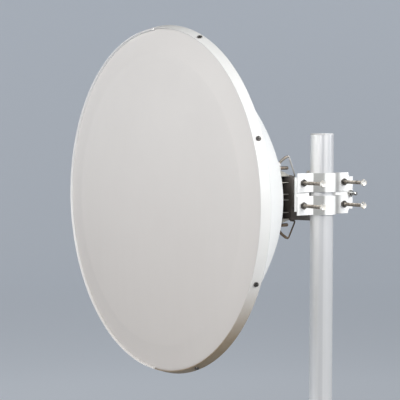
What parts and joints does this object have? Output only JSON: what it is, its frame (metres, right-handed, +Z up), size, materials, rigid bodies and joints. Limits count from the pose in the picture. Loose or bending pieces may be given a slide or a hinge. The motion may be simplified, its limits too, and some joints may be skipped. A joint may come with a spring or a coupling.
{
  "type": "mast-mounted microwave dish antenna",
  "caption": "Deep parabolic microwave dish with a shallow radome, a finned hub with wire latches, and an adjustable two-jaw clamp on a round steel mast.",
  "frame": {"origin": "middle of the mast's flat foot, at ground level", "axes": "+Z up along the mast; the dish looks along -Y and its axis lies on the -X side of the mast"},
  "size_m": [0.9154, 0.558, 1.9577],
  "materials": {
    "galvanised_steel": "dull galvanised",
    "cap_plastic": "matte",
    "white_painted_steel": "satin white",
    "bolt_steel": "weathered zinc",
    "dark_cast_paint": "matte dark paint",
    "plate_paint": "satin white",
    "reflector_paint": "satin white",
    "rim_band_paint": "satin white",
    "radome_plastic": "matte light grey",
    "rim_screw_steel": "weathered",
    "latch_wire_steel": "bright wire"
  },
  "bodies": {
    "mast": {"mast_tube": "galvanised_steel", "mast_cap": "cap_plastic", "clamp_jaw_upper": "white_painted_steel", "clamp_jaw_lower": "white_painted_steel", "clamp_bracket": "white_painted_steel", "clamp_bolt_1": "bolt_steel", "clamp_bolt_2": "bolt_steel", "clamp_bolt_3": "bolt_steel", "clamp_bolt_4": "bolt_steel", "clamp_nut_1": "bolt_steel", "clamp_nut_2": "bolt_steel", "clamp_nut_3": "bolt_steel", "clamp_nut_4": "bolt_steel", "tongue_bolt": "bolt_steel", "tongue_nut": "bolt_steel", "azimuth_pivot_bolt": "bolt_steel", "azimuth_pivot_nut": "bolt_steel"},
    "yoke": {"azimuth_yoke": "dark_cast_paint", "elevation_pivot_bolt": "bolt_steel", "elevation_pivot_nut": "bolt_steel", "elevation_spacer": "bolt_steel"},
    "dish": {"hub_frame": "dark_cast_paint", "hub_neck": "dark_cast_paint", "mounting_plate": "plate_paint", "guide_peg_1": "bolt_steel", "guide_peg_2": "bolt_steel", "guide_peg_3": "bolt_steel", "guide_peg_4": "bolt_steel", "latch_1": "latch_wire_steel", "latch_2": "latch_wire_steel", "latch_3": "latch_wire_steel", "latch_4": "latch_wire_steel", "reflector_bowl": "reflector_paint", "rim_band_near": "rim_band_paint", "rim_band_far": "rim_band_paint", "radome": "radome_plastic", "rim_screw_1": "rim_screw_steel", "rim_screw_2": "rim_screw_steel", "rim_screw_3": "rim_screw_steel", "rim_screw_4": "rim_screw_steel", "rim_screw_5": "rim_screw_steel", "rim_screw_6": "rim_screw_steel", "rim_screw_7": "rim_screw_steel", "rim_screw_8": "rim_screw_steel"}
  },
  "joints": [
    {"name": "azimuth", "type": "hinge", "parent": "mast", "child": "yoke", "pos_m": [-0.056, 0, 1.512], "axis": [0, 0, 1], "range_deg": [-10, 10]},
    {"name": "elevation", "type": "hinge", "parent": "yoke", "child": "dish", "pos_m": [-0.104, 0.028, 1.5], "axis": [-1, 0, 0], "range_deg": [-10, 10]}
  ]
}
